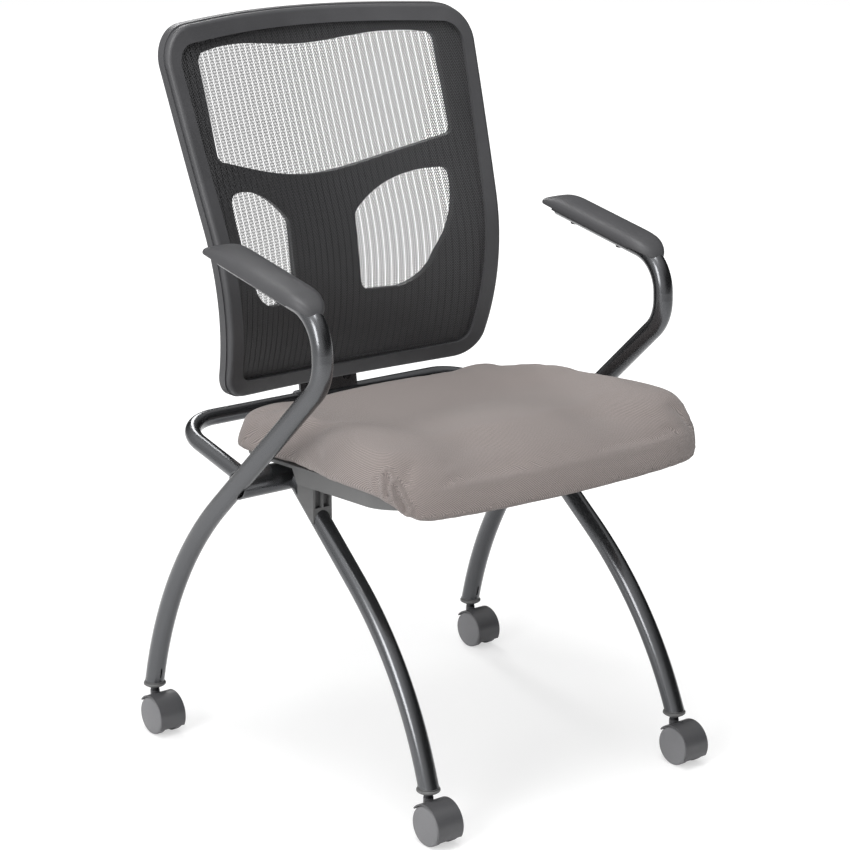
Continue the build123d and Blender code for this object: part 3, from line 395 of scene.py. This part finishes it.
def foam_column(turn):
    """The foam's skin in one direction: over the top, down the wall, under the lip, to the board."""
    cosine, sine = math.cos(turn), math.sin(turn)
    squareness = front_squareness if sine < 0 else rear_squareness
    reach = (abs(cosine) ** squareness + abs(sine) ** squareness) ** (-1 / squareness)
    a, b = cosine * reach, sine * reach
    widening = ramp(-b, -0.36, 0.55)
    half = rear_half + (front_half - rear_half + fuller_left * max(0.0, a)) * widening
    across, along = abs(a) ** (squareness - 1) / half, abs(b) ** (squareness - 1) / half_v
    to_side, to_end = across / math.hypot(across, along), along / math.hypot(across, along)
    to_front = to_end if b < 0 else 0.0
    depth = half * to_side + half_v * to_end
    edge_x = a * half
    bow = rear_bow * (1 - a * a) * max(0.0, b) ** 3 - front_bow * (1 - a * a) * max(0.0, -b) ** 3
    edge_v = middle_v + b * half_v + bow
    front_share = ramp(to_front, 0.1, 0.95)
    roll_in = side_roll_in + (front_roll_in - side_roll_in) * front_share
    roll_down = side_roll_down + (front_roll_down - side_roll_down) * front_share
    past_side = past_pan_rear + (past_pan_side - past_pan_rear) * widening
    past_pan = past_side * to_side + past_pan_front * to_front
    lip = max(0.6, 1.5 * to_side + 14.0 * to_front - 0.6) + past_pan
    low = pan_top + (lip_low - pan_top) * min(1.0, math.asin(to_front) / 1.2)

    def at(inward, high):
        t = 1 - inward / depth
        return (edge_x * t, middle_v + (edge_v - middle_v) * t, high)

    column = []
    for step in range(top_steps):
        inward = slack + (depth - slack) * (1 - step / top_steps) ** 1.6 * 0.985
        x, v, _ = at(inward, 0)
        fall = max(0.0, 1 - (inward - slack) / roll_in)
        rolled = roll_down * (1 - (1 - fall ** roll_fullness) ** (1 / roll_fullness))
        column.append((x, v, foam_top(x, v) - rolled))
    wall_top, wall_foot = column[-1][2], low + 5
    for share in (0.25, 0.5, 0.75, 1.0):
        column.append(at(slack * (1 - share), wall_top + (wall_foot - wall_top) * share))
    column += [at(0.6, low + 2.0), at(min(3.0, lip / 2), low), at(lip, low), at(lip + 0.4, pan_top)]
    column += [at(board_inset - 1 + past_pan, pan_top), at(board_inset + past_pan, board_top)]
    column.append(at(0.98 * depth, board_top))
    return column


columns = [foam_column(2 * math.pi * index / turns) for index in range(turns)]
shape = bmesh.new()
skin(shape, [[shape.verts.new(column[level]) for column in columns] for level in range(len(columns[0]))])
bmesh.ops.recalc_face_normals(shape, faces=shape.faces[:])
bmesh.ops.transform(shape, matrix=seat_place, verts=shape.verts[:])
mesh = bpy.data.meshes.new("seat_upholstery")
shape.to_mesh(mesh)
shape.free()
cushion = bpy.data.objects.new("seat_upholstery", mesh)
scene.collection.objects.link(cushion)


def applied(piece):
    """Puts the result of the piece's modifiers into its own mesh."""
    result = bpy.data.meshes.new_from_object(piece.evaluated_get(bpy.context.evaluated_depsgraph_get()))
    piece.modifiers.clear()
    old, piece.data = piece.data, result
    bpy.data.meshes.remove(old)


remesh = cushion.modifiers.new("foam", "REMESH")
remesh.mode = "VOXEL"
remesh.voxel_size = 0.0045
applied(cushion)

# The cover is blown up a little by the foam under it, by 5 mm at most, except where it
# lies on the pan. Then it is smoothed, but not at the lip, and made finer.
cover_frames, most_blown = 20, 5.0
back_to_seat = seat_place.inverted()
start = [back_to_seat @ v.co for v in cushion.data.vertices]
held = cushion.vertex_groups.new(name="held")
for index, p in enumerate(start):
    if p.z < 30.0 or (p.z < 42.0 and abs(p.x) < 185 and -235 < p.y < 60):
        held.add([index], 1.0, "REPLACE")
cover = cushion.modifiers.new("cover", "CLOTH")
cover.settings.quality = 6
cover.settings.mass = 0.3
cover.settings.tension_stiffness = 20.0
cover.settings.compression_stiffness = 20.0
cover.settings.bending_stiffness = 3.0
cover.settings.use_pressure = True
cover.settings.uniform_pressure_force = 4.0
cover.settings.effector_weights.gravity = 0.0
cover.settings.vertex_group_mass = "held"
cover.point_cache.frame_end = cover_frames
for step in range(cover_frames):
    scene.frame_set(step + 1)
applied(cushion)
scene.frame_set(1)
for vertex, p in zip(cushion.data.vertices, start):
    moved = back_to_seat @ vertex.co - p
    if moved.length > most_blown:
        vertex.co = seat_place @ (p + moved * (most_blown / moved.length))
free = cushion.vertex_groups.new(name="free")
free.add([index for index, p in enumerate(start) if p.z > 12.0], 1.0, "REPLACE")
smooth = cushion.modifiers.new("relax", "SMOOTH")
smooth.factor = 0.5
smooth.iterations = 4
smooth.vertex_group = "free"
finer = cushion.modifiers.new("finer", "SUBSURF")
finer.levels = finer.render_levels = 1
applied(cushion)
mesh = cushion.data

# Small folds where the cover is gathered round the front corners, as lines in mm with
# their depth and half width. They are strong at the right corner and faint at the left.
mesh.update()
surface_tree = BVHTree.FromPolygons([v.co for v in mesh.vertices], [f.vertices for f in mesh.polygons])
fold_lines = (
    (((241, -268, 54), (241, -272, 48), (242, -270, 36), (243, -272, 28)), 3.0, 2.8),
    (((237, -278, 40), (235, -282, 32), (233, -288, 20), (230, -291, 12)), 3.0, 2.8),
    (((246, -252, 44), (247, -258, 34)), 1.2, 3.0),
)
folds = []
for sx, strength in ((-1, 1.0), (1, 0.3)):
    for line, deep, wide in fold_lines:
        spots = [surface_tree.find_nearest(seat_place @ Vector((sx * x, v, h)))[0] * 1000 for x, v, h in line]
        folds.append((spots, deep * strength, wide))


def from_line(p, u, w):
    """Distance of a place from the stretch between two others."""
    foot, share = intersect_point_line(p, u, w)
    if 0 < share < 1:
        return (p - foot).length
    return min((p - u).length, (p - w).length)


corner_x, corner_v = 195, -200
for vertex in mesh.vertices:
    p = vertex.co * 1000
    if abs(p.x) < corner_x or (back_to_seat @ vertex.co).y > corner_v:
        continue
    push = 0.0
    for spots, deep, wide in folds:
        near = min(from_line(p, u, w) for u, w in zip(spots, spots[1:]))
        push += deep * (0.5 * hill(near, 2.3 * wide, wide) - hill(near, 0, wide))
    vertex.co = vertex.co + vertex.normal * (push * 0.001)

# Cloth coordinates in metres that run down the sides and the front with the cover.
level_top = 68.0
weave = mesh.uv_layers.new(name="weave")
flat_place = []
for vertex in mesh.vertices:
    p = back_to_seat @ vertex.co
    n = back_to_seat.to_3x3() @ vertex.normal
    n.normalize()
    drop = max(0.0, level_top - p.z)
    flat_place.append(((p.x + math.copysign(drop * abs(n.x), p.x)) / 1000, (p.y + drop * n.y) / 1000))
for loop in mesh.loops:
    weave.data[loop.index].uv = flat_place[loop.vertex_index]
for face in mesh.polygons:
    face.use_smooth = True

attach(cushion, "seat")
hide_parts("seat_cushion")

# Woven polyester twill in warm grey: diagonal ribs 2.7 mm apart, drawn a little coarser
# than the yarn so that they show, with a soft fuzz that lightens grazing edges. The wave
# texture has a band every tenth of pi over its scale.
rib_spacing, yarn_spacing = 0.0027083, 0.0014960
flecks_per_metre = 700.0
twill, tree = new_material("warm_grey_twill")
laid = add_node(tree, "ShaderNodeUVMap", uv_map="weave")
turned = add_node(tree, "ShaderNodeMapping", {"Vector": laid.outputs[0], "Rotation": (0, 0, math.radians(-34))})
ribs = add_node(tree, "ShaderNodeTexWave", {
    "Vector": turned.outputs[0], "Scale": 0.1 * math.pi / rib_spacing, "Distortion": 0.5, "Detail": 2.0,
    "Detail Scale": 60.0}, wave_type="BANDS", bands_direction="X")
yarn = add_node(tree, "ShaderNodeTexWave", {
    "Vector": turned.outputs[0], "Scale": 0.1 * math.pi / yarn_spacing, "Distortion": 0.8, "Detail": 2.0,
    "Detail Scale": 90.0}, wave_type="BANDS", bands_direction="Y")
fleck = add_node(tree, "ShaderNodeTexNoise", {
    "Vector": laid.outputs[0], "Scale": flecks_per_metre, "Detail": 4.0})
crossed = add_node(tree, "ShaderNodeMath", {
    0: ribs.outputs["Fac"], 1: yarn.outputs["Fac"], 2: 0.5}, operation="MULTIPLY_ADD")
weave_height = add_node(tree, "ShaderNodeMath", {
    0: ribs.outputs["Fac"], 1: crossed.outputs[0]}, operation="ADD")
mottle = add_node(tree, "ShaderNodeMath", {
    0: fleck.outputs[0], 1: 1.6, 2: weave_height.outputs[0]}, operation="MULTIPLY_ADD")
shade = add_node(tree, "ShaderNodeMapRange", {"Value": mottle.outputs[0], "From Min": 0.7, "From Max": 2.9})
tint = add_node(tree, "ShaderNodeMix", {
    "Factor": shade.outputs[0], "A": linear("#565150"), "B": linear("#9b918d")}, data_type="RGBA")
relief = add_node(tree, "ShaderNodeBump", {
    "Height": weave_height.outputs[0], "Strength": 0.6, "Distance": 0.0005})
surface = add_node(tree, "ShaderNodeBsdfPrincipled", {
    "Base Color": tint.outputs["Result"], "Roughness": 0.9, "Specular IOR Level": 0.2,
    "Sheen Weight": 0.2, "Sheen Roughness": 0.5, "Normal": relief.outputs[0]})
add_node(tree, "ShaderNodeOutputMaterial", {"Surface": surface.outputs[0]})
mesh.materials.append(twill)

# ------------------------------------------------------------------ knitted back mesh
# Warp-knitted black polyester monofilament, stretched in the bezel's groove. It is one
# sheet laid on the front of the CAD panel, with its own flat coordinates in metres.
panel = frame["nodes"]["mesh_panel"]
panel_tree = BVHTree.FromObject(panel, bpy.context.evaluated_depsgraph_get())
low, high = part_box("mesh_panel")
across, upward = 96, 94
end_inset, side_inset, lift = 0.004, 0.0005, 0.0004


def panel_front(x, z):
    """The panel's front at a place, or None outside it."""
    return panel_tree.ray_cast(Vector((x, low[1] - 0.1, z)), Vector((0, 1, 0)))[0]


def panel_reach(z):
    """Half of the panel's width at a height, found by halving."""
    inside, outside = 0.0, high[0] + 0.002
    for halving in range(24):
        tried = (inside + outside) / 2
        inside, outside = (tried, outside) if panel_front(tried, z) else (inside, tried)
    return inside - side_inset


shape = bmesh.new()
sheet_uv = shape.loops.layers.uv.new("knit")
rows = []
for row in range(upward + 1):
    z = low[2] + end_inset + (high[2] - low[2] - 2 * end_inset) * row / upward
    reach = panel_reach(z)
    spots = [panel_front(reach * (2 * column / across - 1), z) for column in range(across + 1)]
    runs = [0.0]
    for before, spot in zip(spots, spots[1:]):
        runs.append(runs[-1] + (spot - before).length)
    row_verts = [shape.verts.new(spot + Vector((0, lift, 0))) for spot in spots]
    rows.append((row_verts, [(run - runs[-1] / 2, z) for run in runs]))
for (lower, lower_flat), (upper, upper_flat) in zip(rows, rows[1:]):
    for column in range(across):
        corners = (lower[column], lower[column + 1], upper[column + 1], upper[column])
        flats = (lower_flat[column], lower_flat[column + 1], upper_flat[column + 1], upper_flat[column])
        face = shape.faces.new(corners)
        face.smooth = True
        for loop, flat in zip(face.loops, flats):
            loop[sheet_uv].uv = flat
mesh = bpy.data.meshes.new("knitted_back")
shape.to_mesh(mesh)
shape.free()
knitted = bpy.data.objects.new("knitted_back", mesh)
scene.collection.objects.link(knitted)
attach(knitted, "frame")
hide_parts("mesh_panel")

# Every 10 mm a wale is dropped, which leaves a clear line. Between the lines three wales
# lean over and are laced by slanting threads, with clear slits between them. The bands
# are counted from well beyond the sheet's edge, so that the count stays above zero.
bands_per_metre, first_band = 100.0, 50.5
dropped_share = 0.14
wales_per_band, wale_shift = 3.7, -0.7
strokes_per_metre, stroke_lean = 290.0, -0.95
stroke_open, wale_open = 0.48, 0.38
knit, tree = new_material("black_monofilament_knit")
laid = add_node(tree, "ShaderNodeUVMap", uv_map="knit")
axes = add_node(tree, "ShaderNodeSeparateXYZ", {"Vector": laid.outputs[0]})
bands = add_node(tree, "ShaderNodeMath", {
    0: axes.outputs["X"], 1: bands_per_metre, 2: first_band}, operation="MULTIPLY_ADD")
band = add_node(tree, "ShaderNodeMath", {0: bands.outputs[0]}, operation="FRACT")
dropped = add_node(tree, "ShaderNodeMath", {0: band.outputs[0], 1: dropped_share}, operation="LESS_THAN")
wales = add_node(tree, "ShaderNodeMath", {
    0: band.outputs[0], 1: wales_per_band, 2: wale_shift}, operation="MULTIPLY_ADD")
wale = add_node(tree, "ShaderNodeMath", {0: wales.outputs[0]}, operation="FRACT")
rise = add_node(tree, "ShaderNodeMath", {0: axes.outputs["Y"], 1: strokes_per_metre}, operation="MULTIPLY")
stroke = add_node(tree, "ShaderNodeMath", {
    0: wale.outputs[0], 1: stroke_lean, 2: rise.outputs[0]}, operation="MULTIPLY_ADD")
pitch = add_node(tree, "ShaderNodeMath", {0: stroke.outputs[0]}, operation="FRACT")
open_stroke = add_node(tree, "ShaderNodeMath", {0: pitch.outputs[0], 1: stroke_open}, operation="LESS_THAN")
between = add_node(tree, "ShaderNodeMath", {0: wale.outputs[0], 1: 0.5}, operation="SUBTRACT")
off_middle = add_node(tree, "ShaderNodeMath", {0: between.outputs[0]}, operation="ABSOLUTE")
not_wale = add_node(tree, "ShaderNodeMath", {0: off_middle.outputs[0], 1: wale_open}, operation="LESS_THAN")
slit = add_node(tree, "ShaderNodeMath", {
    0: open_stroke.outputs[0], 1: not_wale.outputs[0]}, operation="MULTIPLY")
hole = add_node(tree, "ShaderNodeMath", {0: slit.outputs[0], 1: dropped.outputs[0]}, operation="MAXIMUM")
# The tops of the slanting threads are painted lighter grey. This is a painted highlight: the yarn itself is
# black all through, and the light grey stands in for light catching the thread tops.
painted_thread_highlight = add_node(tree, "ShaderNodeMapRange", {"Value": pitch.outputs[0], "From Min": 0.6, "From Max": 0.95})
tint = add_node(tree, "ShaderNodeMix", {
    "Factor": painted_thread_highlight.outputs[0], "A": linear("#0b0b0c"), "B": linear("#69696b")}, data_type="RGBA")
relief = add_node(tree, "ShaderNodeBump", {"Height": pitch.outputs[0], "Strength": 0.7, "Distance": 0.0006})
surface = add_node(tree, "ShaderNodeBsdfPrincipled", {
    "Base Color": tint.outputs["Result"], "Roughness": 0.5, "Normal": relief.outputs[0]})
clear = add_node(tree, "ShaderNodeBsdfTransparent")
mix = add_node(tree, "ShaderNodeMixShader", {0: hole.outputs[0], 1: surface.outputs[0], 2: clear.outputs[0]})
add_node(tree, "ShaderNodeOutputMaterial", {"Surface": mix.outputs[0]})
mesh.materials.append(knit)
